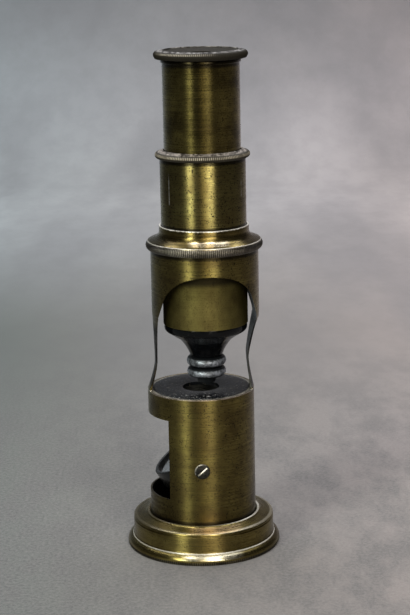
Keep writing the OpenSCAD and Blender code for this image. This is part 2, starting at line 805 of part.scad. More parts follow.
module upper_lens() {
    top = bead_h + shoulder_gap + upper_thread_len;
    color(glass)
    on_barrel(upper_bead_z + top - upper_lens_t - 0.3 + seat_gap)
        lens(upper_lens_d / 2, upper_lens_t - seat_gap, 0.5);
}

module lower_lens_cell() {
    color(worn_black)
    on_barrel(lower_bead_z)
    difference() {
        union() {
            cell_form(lower_bead_d, lower_thread_d, lower_thread_len);
            translate([0, 0, -tip_h]) cylinder(d1 = tip_d, d2 = tip_top_d, h = tip_h + 0.01);
        }
        translate([0, 0, -tip_h - cut])
            cylinder(d = lower_lens_d - 1.2, h = tip_h + bead_h + lower_thread_len + 3 * cut);
        translate([0, 0, -tip_h - cut])
            cylinder(d = lower_lens_d + 2 * seat_gap, h = cut + lower_lens_t + seat_gap);
    }
}

module lower_lens() {
    color(glass) on_barrel(tip_z) lens(lower_lens_d / 2, lower_lens_t, 0.35);
}

// Draw tube with a rolled lip at its top
module draw_tube() {
    color(brass)
    on_barrel(draw_z) {
        tube(draw_r, draw_ir, draw_len);
        translate([0, 0, draw_len - draw_lip_h]) tube(draw_r + draw_lip_out, draw_ir, draw_lip_h);
    }
}

module field_stop() {
    color(black)
    on_barrel(cap_z - field_stop_depth)
        tube(draw_ir - seat_gap, field_stop_d / 2, stop_t);
}

// Cell of the field lens, in the lower end of the draw tube
module field_lens_cell() {
    color(dark_brass)
    on_barrel(draw_z)
    difference() {
        cylinder(r = draw_ir - seat_gap, h = field_cell_h);
        translate([0, 0, -cut]) cylinder(d = field_lens_d - 2 * field_ledge, h = field_cell_h + 2 * cut);
        translate([0, 0, field_ledge]) cylinder(d = field_lens_d + 2 * seat_gap, h = field_cell_h);
    }
}

module field_lens() {
    color(glass)
    on_barrel(draw_z + field_ledge + seat_gap + field_lens_t) rotate([180, 0, 0])
        lens(field_lens_d / 2, field_lens_t, 1);
}

// Knurled cap of the eyepiece: dished top, eye hole, boss for the lens, and thread
module eyepiece_cap() {
    bead = [cap_d / 2 - cap_bead_r, cap_bead_z];
    base = [cap_base_d / 2, 0];
    top = [cap_top_d / 2, cap_h];
    plate_z = cap_h - cap_plate_t;
    boss_r = eye_lens_d / 2 + seat_gap + eye_boss_wall;
    boss_z = plate_z - eye_lens_t - eye_ring_h;
    thread_r = draw_ir - turn_gap;
    dish_z = cap_h - cap_dish_h;
    color(dark_brass)
    on_barrel(cap_z)
    difference() {
        union() {
            rotate_extrude() {
                translate(bead) circle(r = cap_bead_r, $fn = 64);
                difference() {
                    polygon([
                        [0, 0], base, tangent_point(bead, cap_bead_r, base, 1), bead,
                        tangent_point(bead, cap_bead_r, top), top, [0, cap_h]
                    ]);
                    translate([0, -cut]) square([thread_r - cap_thread_wall, cut + plate_z]);
                }
            }
            translate([0, 0, boss_z]) cylinder(r = boss_r, h = plate_z - boss_z + 0.1);
            translate([0, 0, -cap_thread_len])
                tube(thread_r, thread_r - cap_thread_wall, cap_thread_len + 0.1);
        }
        translate([0, 0, boss_z - cut])
            cylinder(d = eye_lens_d + 2 * seat_gap, h = plate_z - boss_z + cut);
        cylinder(d = eye_hole_d, h = cap_h + cut);
        translate([0, 0, dish_z]) cylinder(d = cap_dish_d, h = cap_h);
        translate([0, 0, dish_z - cap_dip_h])
            cylinder(d1 = eye_hole_d, d2 = cap_dish_d, h = cap_dip_h + 0.001);
    }
}

module eye_lens() {
    color(glass)
    on_barrel(cap_z + cap_h - cap_plate_t - seat_gap) rotate([180, 0, 0])
        lens(eye_lens_d / 2, eye_lens_t - seat_gap, 0.8);
}

module eye_lens_ring() {
    color(dark_brass)
    on_barrel(cap_z + cap_h - cap_plate_t - eye_lens_t - eye_ring_h)
        tube(eye_lens_d / 2, eye_lens_d / 2 - 1.2, eye_ring_h - seat_gap);
}

foot();
foot_ballast();
drum_frame();
stage_disc();
collar();
guide_sleeve();
front_pivot_screw();
rear_pivot_screw();
mirror_cell();
mirror_glass();
focus_tube();
tube_ring();
draw_sleeve();
glare_stop();
nose_cone();
upper_lens_cell();
upper_lens();
lower_lens_cell();
lower_lens();
draw_tube();
field_stop();
field_lens_cell();
field_lens();
eyepiece_cap();
eye_lens();
eye_lens_ring();
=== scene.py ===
import bpy
import math
from mathutils import Matrix, Vector


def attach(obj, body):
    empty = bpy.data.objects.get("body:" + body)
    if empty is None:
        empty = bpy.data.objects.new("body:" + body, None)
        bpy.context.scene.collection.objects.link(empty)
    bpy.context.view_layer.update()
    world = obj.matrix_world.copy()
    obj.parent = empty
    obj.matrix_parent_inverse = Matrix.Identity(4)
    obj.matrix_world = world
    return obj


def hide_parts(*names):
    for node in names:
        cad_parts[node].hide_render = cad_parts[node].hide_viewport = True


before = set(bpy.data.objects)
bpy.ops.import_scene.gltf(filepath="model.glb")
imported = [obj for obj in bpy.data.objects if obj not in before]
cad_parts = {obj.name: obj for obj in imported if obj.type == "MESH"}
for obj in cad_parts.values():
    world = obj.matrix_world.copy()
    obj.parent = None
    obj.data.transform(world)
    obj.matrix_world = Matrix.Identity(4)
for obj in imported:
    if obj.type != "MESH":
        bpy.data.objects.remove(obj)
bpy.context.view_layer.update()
mm = 0.001
barrelX = 2.05       # the barrel's axis stands this far to +X of the drum's
mirrorPivot = 30.4   # height of the two screws that the mirror turns on
mirrorTilt = -31.0   # degrees, towards the window
print("frame loaded:", len(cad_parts), "nodes")


# shader maths: one socket that can be added, multiplied and compared like a number

class Wire:
    def __init__(self, finish, socket):
        self.finish = finish
        self.socket = socket

    def maths(self, operation, first, second):
        return self.finish.node("ShaderNodeMath", {"operation": operation}, (first, second))

    def __add__(self, other):
        return self.maths("ADD", self, other)

    def __sub__(self, other):
        return self.maths("SUBTRACT", self, other)

    def __rsub__(self, other):
        return self.maths("SUBTRACT", other, self)

    def __mul__(self, other):
        return self.maths("MULTIPLY", self, other)

    def __truediv__(self, other):
        return self.maths("DIVIDE", self, other)

    def __pow__(self, other):
        return self.maths("POWER", self, other)

    def __lt__(self, other):
        return self.maths("LESS_THAN", self, other)

    __radd__ = __add__
    __rmul__ = __mul__


def opaque(colour):
    # a colour with its alpha; a wire stays as it is
    return colour if isinstance(colour, Wire) else tuple(colour) + (1,)


class Finish:
    # one material; its pattern is read in millimetres from the axis of the part that wears it
    sockets = {"colour": "Base Color", "roughness": "Roughness", "metallic": "Metallic", "normal": "Normal",
               "anisotropic": "Anisotropic", "turn": "Anisotropic Rotation", "specular": "Specular IOR Level",
               "transmission": "Transmission Weight", "ior": "IOR"}

    def __init__(self, name, axisX=0.0):
        self.material = bpy.data.materials.new(name)
        self.material.use_nodes = True
        self.tree = self.material.node_tree
        self.tree.nodes.clear()
        output = self.tree.nodes.new("ShaderNodeOutputMaterial")
        self.shader = self.tree.nodes.new("ShaderNodeBsdfPrincipled")
        self.tree.links.new(self.shader.outputs[0], output.inputs["Surface"])
        here = self.node("ShaderNodeTexCoord", {}, (), "Object")
        scale = (1 / mm, 1 / mm, 1 / mm)
        self.place = self.node("ShaderNodeMapping", {"vector_type": "POINT"},
                               {"Vector": here, "Location": (-axisX, 0, 0), "Scale": scale})
        split = self.node("ShaderNodeSeparateXYZ", {}, (self.place,))
        outs = split.socket.node.outputs
        self.x, self.y, self.z = (Wire(self, outs[i]) for i in range(3))
        self.radius = (self.x * self.x + self.y * self.y) ** 0.5

    def node(self, kind, settings, inputs=(), output=0):
        new = self.tree.nodes.new(kind)
        for key, value in settings.items():
            if key == "stops":
                ramp = new.color_ramp
                while len(ramp.elements) < len(value):
                    ramp.elements.new(1)
                for element, (position, colour) in zip(ramp.elements, value):
                    element.position = position
                    element.color = opaque(colour)
            else:
                setattr(new, key, value)
        pairs = inputs.items() if isinstance(inputs, dict) else enumerate(inputs)
        for key, value in pairs:
            if isinstance(value, Wire):
                self.tree.links.new(value.socket, new.inputs[key])
            else:
                new.inputs[key].default_value = value
        return Wire(self, new.outputs[output])

    def put(self, **values):
        for key, value in values.items():
            socket = self.shader.inputs[self.sockets[key]]
            if isinstance(value, Wire):
                self.tree.links.new(value.socket, socket)
            else:
                socket.default_value = opaque(value) if key == "colour" else value

    def fed(self, name):
        # what already feeds one of the shader's sockets
        return Wire(self, self.shader.inputs[name].links[0].from_socket)

    def noise(self, scale, detail, rough, across=1.0, upwards=1.0, deep=None):
        # across and deep stretch the pattern round the part where they are small, upwards along it
        stretched = self.node("ShaderNodeVectorMath", {"operation": "MULTIPLY"},
                              {0: self.place, 1: (across, deep or across, upwards)})
        return self.node("ShaderNodeTexNoise", {"noise_dimensions": "3D"},
                         {"Vector": stretched, "Scale": scale, "Detail": detail, "Roughness": rough}, "Fac")

    def fitted(self, value, low, high, newLow, newHigh):
        return self.node("ShaderNodeMapRange", {"clamp": True},
                         {"Value": value, "From Min": low, "From Max": high, "To Min": newLow,
                          "To Max": newHigh})

    def step(self, value, low, high):
        # 0 below low, 1 above high, smooth between them
        return self.node("ShaderNodeMapRange", {"interpolation_type": "SMOOTHSTEP", "clamp": True},
                         {"Value": value, "From Min": low, "From Max": high, "To Min": 0.0, "To Max": 1.0})

    def fall(self, value, low, high):
        # 1 below low, 0 above high, smooth between them
        return 1.0 - self.step(value, low, high)

    def between(self, value, riseFrom, riseTo, fallFrom, fallTo):
        return self.step(value, riseFrom, riseTo) * self.fall(value, fallFrom, fallTo)

    def ragged(self, noise, reach):
        # moves an edge to and fro by up to this reach
        return self.fitted(noise, 0.3, 0.7, -reach, reach)

    def away(self, radius, height):
        # the distance from a ring round the axis
        return ((self.radius - radius) ** 2.0 + (self.z - height) ** 2.0) ** 0.5

    def mixed(self, amount, first, second, blend="MIX"):
        # a Mix node's colours are its inputs 6 and 7 and its output 2
        return self.node("ShaderNodeMix", {"data_type": "RGBA", "blend_type": blend},
                         {0: amount, 6: opaque(first), 7: opaque(second)}, 2)

    def bumped(self, height, strength, distance=0.00005):
        return self.node("ShaderNodeBump", {}, {"Height": height, "Strength": strength, "Distance": distance})


# camera, lamps and floor

camera = {"place": (1.90, -558.3, 212.44), "pitch": 13.14, "roll": 1.133, "lens": 100.0, "sensor": 36.0,
          "nearest": 0.01}

lamps = {
    # azimuth from the camera's side and lean in degrees, height, distance and size in metres
    "leftWindow": dict(azimuth=-37, height=0.45, distance=1.25, wide=0.26, tall=0.8, lean=22, power=10,
                       colour=(0.95, 1.0, 0.82)),
    "rightWindow": dict(azimuth=17, height=0.47, distance=1.35, wide=0.40, tall=0.8, lean=22, power=10,
                        colour=(1.0, 0.95, 0.82)),
    "leftHigh": dict(azimuth=-40, height=1.15, distance=0.55, wide=0.20, tall=0.30, lean=0, power=4,
                     colour=(1.0, 0.98, 0.95)),
    "rightHigh": dict(azimuth=22, height=1.15, distance=0.55, wide=0.30, tall=0.30, lean=0, power=5,
                      colour=(1.0, 0.96, 0.92)),
    "betweenWindows": dict(azimuth=3, height=0.47, distance=1.35, wide=0.30, tall=0.8, lean=22, power=2.5,
                           colour=(1.0, 0.86, 0.52)),
    "ceiling": dict(azimuth=180, height=1.25, distance=0.45, wide=1.3, tall=1.0, lean=0, power=20,
                    colour=(0.97, 0.98, 1.0)),
}

studio = {
    # metres; the lamps point at aim, and the sheet is bent up behind the instrument
    "aim": (0, 0, 0.09), "world": (0.040, 0.040, 0.042),
    "floorFront": -0.34, "floorBack": 0.75, "halfWidth": 1.1, "wallTop": 1.2, "bend": 0.35, "bendSteps": 16,
}

sheet = {
    # grey of the sheet, by the distance behind the instrument in millimetres: painted light, brightest some
    # 700 behind, with painted shade in front of it and at the top
    "paintedLightGreys": ((-150, 0.150), (60, 0.162), (190, 0.182), (300, 0.20), (480, 0.275), (700, 0.375),
              (1040, 0.25), (1250, 0.15)),
    # the side tints, painted shade on the left and painted light on the right, fan out from a point this far
    # before the instrument, by this slope each way
    "fanFrom": 560.0, "fanSlope": 0.12,
    "leftPaintedShade": dict(near=(0.56, 0.62, 0.61), far=(0.88, 0.96, 1.01), start=300, end=600),
    "rightPaintedLight": dict(near=(1.24, 1.11, 1.10), far=(1.10, 0.99, 1.0), start=200, end=500),
    # a painted pool of light on the backdrop, right of the tubes, and a colder top
    "paintedLightSlope": 0.052, "paintedLightSpread": 0.0032, "paintedLightTint": (1.17, 1.17, 1.18),
    "topTint": (0.99, 1.0, 1.045),
    # colours of the blots in it, of its weave and of its grain
    "cloud": (0.14, 0.142, 0.158), "weave": (0.09, 0.09, 0.095), "grain": (0.34, 0.325, 0.32),
    # the paper's grain shows up to the first distance and is gone at the second
    "nearFrom": 40, "nearTo": 300,
}


def aimAt(place, target, roll):
    turn = (Vector(target) - Vector(place)).to_track_quat("-Z", "Y").to_matrix().to_4x4()
    return Matrix.Translation(Vector(place)) @ turn @ Matrix.Rotation(roll, 4, "Z")


def makeCamera():
    data = bpy.data.cameras.new("camera")
    data.lens = camera["lens"]
    data.sensor_width = camera["sensor"]
    data.clip_start = camera["nearest"]
    eye = bpy.data.objects.new("camera", data)
    bpy.context.scene.collection.objects.link(eye)
    tilt = Matrix.Rotation(math.radians(90 - camera["pitch"]), 4, "X")
    roll = Matrix.Rotation(math.radians(-camera["roll"]), 4, "Z")
    eye.matrix_world = Matrix.Translation(Vector(camera["place"]) * mm) @ tilt @ roll
    bpy.context.scene.camera = eye


def makeLamps():
    for name, lamp in lamps.items():
        data = bpy.data.lights.new(name, "AREA")
        data.shape = "RECTANGLE"
        data.size = lamp["wide"]
        data.size_y = lamp["tall"]
        data.energy = lamp["power"]
        data.color = lamp["colour"]
        light = bpy.data.objects.new(name, data)
        bpy.context.scene.collection.objects.link(light)
        angle = math.radians(lamp["azimuth"])
        place = (lamp["distance"] * math.sin(angle), -lamp["distance"] * math.cos(angle), lamp["height"])
        light.matrix_world = aimAt(place, studio["aim"], math.radians(lamp["lean"]))
    world = bpy.data.worlds.new("room")
    world.use_nodes = True
    sky = world.node_tree.nodes["Background"]
    sky.inputs["Color"].default_value = opaque(studio["world"])
    sky.inputs["Strength"].default_value = 1.0
    bpy.context.scene.world = world


def paperFinish():
    look = sheet
    paper = Finish("paper")
    front, back = look["paintedLightGreys"][0][0], look["paintedLightGreys"][-1][0]
    far = paper.fitted(paper.y + paper.z, front, back, 0.0, 1.0)
    # the grey ramp by distance is a painted pool of light on the sheet
    stops = [((distance - front) / (back - front), (grey, grey, grey)) for distance, grey in look["paintedLightGreys"]]
    tone = paper.node("ShaderNodeValToRGB", {"stops": stops}, (far,))
    fan = paper.x / (paper.y + look["fanFrom"])
    side = paper.fitted(fan, -look["fanSlope"], look["fanSlope"], 0.0, 1.0)
    # painted shade on the left and painted light on the right; the lighter right near the instrument paints
    # out the foot's cast shadow
    left, right = (paper.mixed(paper.fall(paper.y, tint["start"], tint["end"]), tint["far"], tint["near"])
                   for tint in (look["leftPaintedShade"], look["rightPaintedLight"]))
    tone = paper.mixed(1.0, tone, paper.mixed(side, left, right), "MULTIPLY")
    # a painted pool of light on the backdrop, right of the tubes
    aside = fan - look["paintedLightSlope"]
    light = paper.fall(aside * aside, 0.0, look["paintedLightSpread"]) * paper.between(far, 0.48, 0.62, 0.70, 0.88)
    tone = paper.mixed(light, tone, look["paintedLightTint"], "MULTIPLY")
    tone = paper.mixed(paper.step(far, 0.62, 0.85), tone, look["topTint"], "MULTIPLY")
    near = paper.fall(paper.y, look["nearFrom"], look["nearTo"])
    cloud = paper.fitted(paper.noise(0.012, detail=3.0, rough=0.5, deep=0.22), 0.36, 0.60, 0.40, 0.0)
    weave = paper.fitted(paper.noise(0.05, detail=5.0, rough=0.7, deep=0.5), 0.41, 0.60, 0.0, 1.0)
    grain = paper.fitted(paper.noise(0.8, detail=5.0, rough=0.85), 0.40, 0.60, 0.0, 1.0)
    tone = paper.mixed(cloud * (1.0 - near * 0.65), tone, look["cloud"])
    tone = paper.mixed(weave * (near * 0.52 + 0.10), tone, look["weave"])
    tone = paper.mixed(grain * near * 0.24, tone, look["grain"])
    paper.put(colour=tone, roughness=0.9, specular=0.15)
    return paper


def makeFloor():
    # one sheet: flat under the instrument, then bent up behind it
    bend, steps = studio["bend"], studio["bendSteps"]
    bpy.ops.object.select_all(action="DESELECT")
    bpy.ops.mesh.primitive_plane_add(size=1)
    floor = bpy.context.object
    floor.name = "floor"
    for vertex in floor.data.vertices:
        vertex.co.x = studio["halfWidth"] * (1 if vertex.co.x > 0 else -1)
        vertex.co.y = studio["floorBack"] if vertex.co.y > 0 else studio["floorFront"]
    back = [v.index for v in floor.data.vertices if v.co.y > 0]
    bpy.ops.object.mode_set(mode="EDIT")
    bpy.ops.mesh.select_all(action="DESELECT")
    bpy.ops.object.mode_set(mode="OBJECT")
    for index in back:
        floor.data.vertices[index].select = True
    for edge in floor.data.edges:
        edge.select = all(v in back for v in edge.vertices)
    bpy.ops.object.mode_set(mode="EDIT")
    for i in range(steps):
        start, end = (math.pi / 2 * (i + k) / steps for k in (0, 1))
        move = (0, bend * (math.sin(end) - math.sin(start)), bend * (math.cos(start) - math.cos(end)))
        bpy.ops.mesh.extrude_region_move(TRANSFORM_OT_translate={"value": move})
    bpy.ops.mesh.extrude_region_move(TRANSFORM_OT_translate={"value": (0, 0, studio["wallTop"])})
    bpy.ops.object.mode_set(mode="OBJECT")
    bpy.ops.object.shade_smooth()
    floor.data.materials.append(paperFinish().material)


makeCamera()
makeLamps()
makeFloor()
bpy.context.scene.view_settings.view_transform = "Standard"
print("camera, lamps and floor")


# tools of the bench

bench = {
    "smoothAngle": 35,       # degrees; edges sharper than this stay crisp
    "bluntAngle": 152,       # degrees; corners wider open than this aren't broken
    "shortest": 1e-9,        # millimetres; a corner beside a shorter side isn't broken
    "cutShare": 0.4,         # how much of a side a broken corner may take
    "weld": 1e-7,            # metres within which points are joined
    "spinWeld": 2e-7,        # the same, after a spin
    "reedColumns": 4,        # columns of points for each reed
}


def arc(centreR, centreZ, radius, start, end, steps):
    return [(centreR + radius * math.cos(math.radians(start + (end - start) * i / steps)),
             centreZ + radius * math.sin(math.radians(start + (end - start) * i / steps)))
            for i in range(steps + 1)]


def bowed(low, high, bulge, steps=8):
    # a straight line between two points, bowed out at its middle
    low, high = Vector(low), Vector(high)
    side = Vector((-(high - low).y, (high - low).x)).normalized()
    points = []
    for i in range(steps + 1):
        share = i / steps
        spot = low + (high - low) * share + side * bulge * 4 * share * (1 - share)
        points.append((spot.x, spot.y))
    return points


def joined(stretches):
    # one outline from its named stretches: a list is points, a tuple is the values of an arc
    points = []
    for stretch in stretches.values():
        points += arc(*stretch) if isinstance(stretch, tuple) else stretch
    return points


def broken(points, width, closed):
    # breaks each sharp corner of a turned outline with a small rounding
    done = []
    count = len(points)
    for i, point in enumerate(points):
        corner = Vector(point)
        back = Vector(points[i - 1]) - corner
        ahead = Vector(points[(i + 1) % count]) - corner
        loose = not closed and i in (0, count - 1)
        if loose or min(back.length, ahead.length) < bench["shortest"]:
            done.append(point)
            continue
        if math.degrees(back.angle(ahead)) > bench["bluntAngle"]:
            done.append(point)
            continue
        cutBack = min(width, back.length * bench["cutShare"], ahead.length * bench["cutShare"])
        start, end = corner + back.normalized() * cutBack, corner + ahead.normalized() * cutBack
        for share in (0.0, 0.33, 0.67, 1.0):
            spot = start * (1 - share) ** 2 + corner * 2 * share * (1 - share) + end * share ** 2
            done.append((spot.x, spot.y))
    return done


def turned(name, outline, centreX, bottom, steps, closed):
    # draws a half section point by point, then spins it round the lathe's axis
    bpy.ops.object.select_all(action="DESELECT")
    bpy.ops.mesh.primitive_plane_add(size=1e-3, location=(0, 0, 0))
    piece = bpy.context.object
    piece.name = name
    points = [Vector(((centreX + r) * mm, 0, (bottom + z) * mm)) for r, z in outline]
    bpy.ops.object.mode_set(mode="EDIT")
    bpy.ops.mesh.select_all(action="SELECT")
    bpy.ops.mesh.merge(type="CENTER")
    bpy.ops.transform.translate(value=points[0])
    around = points[1:] + points[:1] if closed else points[1:]
    for here, there in zip(points, around):
        bpy.ops.mesh.extrude_region_move(TRANSFORM_OT_translate={"value": there - here})
    bpy.ops.mesh.select_all(action="SELECT")
    bpy.ops.mesh.remove_doubles(threshold=bench["weld"])
    bpy.ops.mesh.select_all(action="SELECT")
    bpy.ops.mesh.spin(steps=steps, angle=2 * math.pi, center=(centreX * mm, 0, 0), axis=(0, 0, 1))
    bpy.ops.mesh.select_all(action="SELECT")
    bpy.ops.mesh.remove_doubles(threshold=bench["spinWeld"])
    bpy.ops.mesh.select_all(action="SELECT")
    bpy.ops.mesh.normals_make_consistent(inside=False)
    bpy.ops.object.mode_set(mode="OBJECT")
    bpy.ops.object.shade_smooth_by_angle(angle=math.radians(bench["smoothAngle"]))
    return piece


def reeded(piece, centreX, bottom, reeds):
    # pinches the gaps between the reeds inwards, deepest halfway up the band
    low, high = bottom + reeds["low"], bottom + reeds["high"]
    middle, half = (low + high) / 2, (high - low) / 2
    columns = bench["reedColumns"]
    bands = {}
    for vertex in piece.data.vertices:
        x, y, z = vertex.co.x / mm - centreX, vertex.co.y / mm, vertex.co.z / mm
        if low < z < high and math.hypot(x, y) > reeds["inside"]:
            column = round(math.degrees(math.atan2(y, x)) / 360 * reeds["count"] * columns) % columns
            if column == 0:
                continue
            share = (1.0 if column * 2 == columns else 0.5) * (1 - ((z - middle) / half) ** 4)
            bands.setdefault(round(share, 2), []).append(vertex.index)
    radius = max(math.hypot(v.co.x / mm - centreX, v.co.y / mm) for v in piece.data.vertices)
    bpy.context.view_layer.objects.active = piece
    for share, members in bands.items():
        bpy.ops.object.mode_set(mode="EDIT")
        bpy.ops.mesh.select_all(action="DESELECT")
        bpy.ops.object.mode_set(mode="OBJECT")
        for index in members:
            piece.data.vertices[index].select = True
        bpy.ops.object.mode_set(mode="EDIT")
        size = 1 - reeds["depth"] * share / radius
        bpy.ops.transform.resize(value=(size, size, 1), center_override=(centreX * mm, 0, 0))
        bpy.ops.object.mode_set(mode="OBJECT")


def lathed(name, cut, centreX=0.0):
    # a whole turned piece from its dictionary
    reeds = cut.get("reeds")
    closed = cut.get("closed", True)
    steps = reeds["count"] * bench["reedColumns"] if reeds else cut["steps"]
    outline = broken(joined(cut["outline"]), cut["cornerBreak"], closed)
    piece = turned(name, outline, centreX, cut["bottom"], steps, closed)
    if reeds:
        reeded(piece, centreX, cut["bottom"], reeds)
    return piece


def tilted(piece):
    # sets a piece that was turned upright onto the mirror's pivot
    piece.rotation_euler = (0, math.radians(mirrorTilt), 0)
    piece.location = (0, 0, mirrorPivot * mm)
    bpy.ops.object.select_all(action="DESELECT")
    piece.select_set(True)
    bpy.context.view_layer.objects.active = piece
    bpy.ops.object.transform_apply(location=True, rotation=True, scale=True)
    return piece


def copied(node, name):
    # a copy of a CAD piece with its loose triangles joined up, so that it shades smoothly
    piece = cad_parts[node].copy()
    piece.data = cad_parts[node].data.copy()
    piece.name = name
    piece.parent = None
    piece.matrix_world = Matrix.Identity(4)
    for key in list(piece.keys()):
        del piece[key]
    bpy.context.scene.collection.objects.link(piece)
    bpy.ops.object.select_all(action="DESELECT")
    piece.select_set(True)
    bpy.context.view_layer.objects.active = piece
    bpy.ops.object.mode_set(mode="EDIT")
    bpy.ops.mesh.select_all(action="SELECT")
    bpy.ops.mesh.remove_doubles(threshold=bench["weld"])
    bpy.ops.object.mode_set(mode="OBJECT")
    bpy.ops.object.shade_smooth_by_angle(angle=math.radians(bench["smoothAngle"]))
    return piece


def dressed(piece, node, body, finish):
    # gives a finished piece its material and its body, and hides the CAD node that it stands for
    piece.data.materials.clear()
    piece.data.materials.append(finish.material)
    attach(piece, body)
    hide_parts(node)


# how the metals, the lacquer and the glass have aged

def wearAndHighlightSpots(metal, spots, grit):
    # how far the finish is rubbed, partly real wear and partly a painted highlight along lit edges: most at
    # the middle of each spot, and by leftShare as much on the left
    total = 0.0
    for spot in spots:
        away = metal.away(spot["radius"], spot["height"]) + metal.ragged(grit, 0.1)
        here = metal.fall(away, spot["size"] * 0.55, spot["size"])
        least = spot["leftShare"] * spot["strength"]
        total = here * metal.fitted(metal.x / spot["radius"], 0.0, 0.75, least, spot["strength"]) + total
    return metal.fitted(total, 0.0, 1.0, 0.0, 1.0)


def ridges(metal, count):
    # 1 along the top of each reed, 0 between two reeds
    around = metal.node("ShaderNodeMath", {"operation": "ARCTAN2"}, (metal.y, metal.x))
    wave = metal.node("ShaderNodeMath", {"operation": "COSINE"}, (around * float(count),))
    return metal.fitted(wave, -0.5, 0.7, 0.0, 1.0)


brassAge = {
    # how strongly the brushed lines and the broad bands darken it
    "lines": 0.38, "bands": 0.266,
    # colours of its specks of dirt and of its painted shadows, and how far each place is covered
    "speck": (0.018, 0.014, 0.009), "paintedArchShadow": (0.022, 0.018, 0.012), "paintedShadow": (0.012, 0.010, 0.008),
    "dullCover": 0.75, "paintedArchShadowCover": 0.88, "paintedShadowCover": 0.85,
    # what each of these adds to the roughness
    "speckRough": 0.25, "cloudRough": 0.08, "beadRough": 0.16, "rubbedRough": 0.12, "dullRough": 0.50,
    "anisotropic": 0.8, "turn": 0.25, "bump": 0.3, "bumpDepth": 0.00003,
}


def agedBrass(name, axisX, light=(0.30, 0.235, 0.075), dark=(0.085, 0.06, 0.02), spots=0.6, rough=0.29,
              seed=0.0, worn=(), bare=None, bead=None, dull=None, paintedHighlights=(), paintedShadow=()):
    age = brassAge
    brass = Finish(name, axisX)
    shift = seed * 0.1
    lines = brass.noise(1.0, detail=2.0, rough=0.65, across=0.035, upwards=4.2 + shift)
    bands = brass.noise(1.0, detail=2.0, rough=0.5, across=0.03, upwards=0.5 + shift)
    cloud = brass.noise(0.11 + seed * 0.01, detail=4.0, rough=0.62)
    speck = brass.noise(2.2, detail=2.0, rough=0.5)
    grit = brass.noise(2.2, detail=2.0, rough=0.6)
    blotch = brass.noise(0.42, detail=3.0, rough=0.6, upwards=0.8 + shift)
    tone = brass.mixed(brass.fitted(cloud, 0.35, 0.68, 0.0, 0.8), light, dark)
    tone = brass.mixed(brass.fitted(lines, 0.36, 0.64, 0.0, age["lines"]), tone, dark)
    tone = brass.mixed(brass.fitted(bands, 0.4, 0.7, 0.0, age["bands"]), tone, dark)
    mark = brass.step(speck, 0.56, 0.63) * brass.step(blotch, 0.38, 0.52) * spots
    tone = brass.mixed(mark, tone, age["speck"])
    polish = brass.fitted(lines, 0.3, 0.7, rough - 0.07, rough + 0.10)
    polish = polish + brass.step(cloud, 0.5, 0.75) * age["cloudRough"] + mark * age["speckRough"]
    shine = 1.0
    if bead:
        # a knurled band: dark between its reeds, bare metal on top of them
        low, high = bead["low"], bead["high"]
        zone = brass.step(brass.radius, bead["peak"] - 1.4, bead["peak"] - 1.2)
        zone = zone * brass.between(brass.z, low - 0.05, low + 0.05, high - 0.1, high + 0.1)
        ridge = ridges(brass, bead["reeds"]) * brass.fitted(cloud, 0.35, 0.6, 0.2, 1.0)
        tone = brass.mixed(zone, tone, brass.mixed(ridge, bead["gaps"], bead["tops"]))
        polish = polish + zone * age["beadRough"]
    if worn:
        # rubbed edges, partly real wear and partly painted highlights
        rubbed = wearAndHighlightSpots(brass, worn, grit) * brass.fitted(cloud, 0.3, 0.65, 0.7, 1.0)
        tone = brass.mixed(rubbed, tone, bare)
        shine = 1.0 - rubbed * 0.65
        polish = polish + rubbed * age["rubbedRough"]
    for spot in paintedHighlights:
        # a painted highlight, on the front and the back, its middle so far aside
        here = brass.fall(brass.away(spot["radius"], spot["height"]), spot["size"] * 0.7, spot["size"])
        ahead = brass.fall(((brass.x - spot["aside"]) / spot["radius"]) ** 2.0, 0.04, 0.20)
        tone = brass.mixed(here * brass.fitted(cloud, 0.3, 0.6, 0.6, 0.9) * ahead, tone, spot["colour"])
    if dull:
        # tarnished and rough between two heights, with a painted shadow, nearly black, along the top of that,
        # where the barrel's arch shades it
        low, high = dull["low"], dull["high"]
        zone = brass.between(brass.z, low, low + 1.0, high + 3.0, high + 6.0)
        stain = brass.fitted(brass.noise(0.16, detail=4.0, rough=0.6, upwards=0.6), 0.35, 0.65, 0.0, 1.0)
        tone = brass.mixed(zone * age["dullCover"], tone, brass.mixed(stain, dull["light"], dull["dark"]))
        paintedArchShadow = brass.between(brass.z, high - 1.5, high + 1.0, high + 3.0, high + 6.0)
        tone = brass.mixed(paintedArchShadow * age["paintedArchShadowCover"], tone, age["paintedArchShadow"])
        polish = polish + zone * age["dullRough"]
    for line in paintedShadow:
        # painted shadow along the line where another piece meets this one
        away = (brass.z + brass.ragged(grit, 0.15) - line["height"]) ** 2.0
        reach = line["size"] * line["size"]
        tone = brass.mixed(brass.fall(away, reach * 0.15, reach) * age["paintedShadowCover"], tone, age["paintedShadow"])
    brass.put(colour=tone, metallic=shine, roughness=polish, anisotropic=age["anisotropic"], turn=age["turn"],
              normal=brass.bumped(lines, age["bump"], age["bumpDepth"]))
    return brass


frameLook = {
    "metal": dict(spots=0.85, light=(0.24, 0.195, 0.06), dark=(0.070, 0.048, 0.02),
                  # painted shadows under the collar and where the drum enters the foot
                  paintedShadow=(dict(height=102.5, size=1.3), dict(height=11.5, size=1.2))),
    "drumTop": 55.0, "strapTop": 76.0, "insideRadius": 17.5,
    "inside": (0.004, 0.0035, 0.003), "lowDown": (0.02, 0.014, 0.008),
    # the straps' painted shade, how far it covers, and what the straps add to the roughness
    "strap": (0.022, 0.019, 0.016), "strapCover": 0.92, "strapRough": 0.25,
    # the rim's colour, and that of its ends, past these squares of the distance from the axis
    "rim": (0.66, 0.54, 0.44), "rimEnd": (0.95, 0.90, 0.78), "rimEndFrom": 230.0, "rimEndTo": 285.0,
}


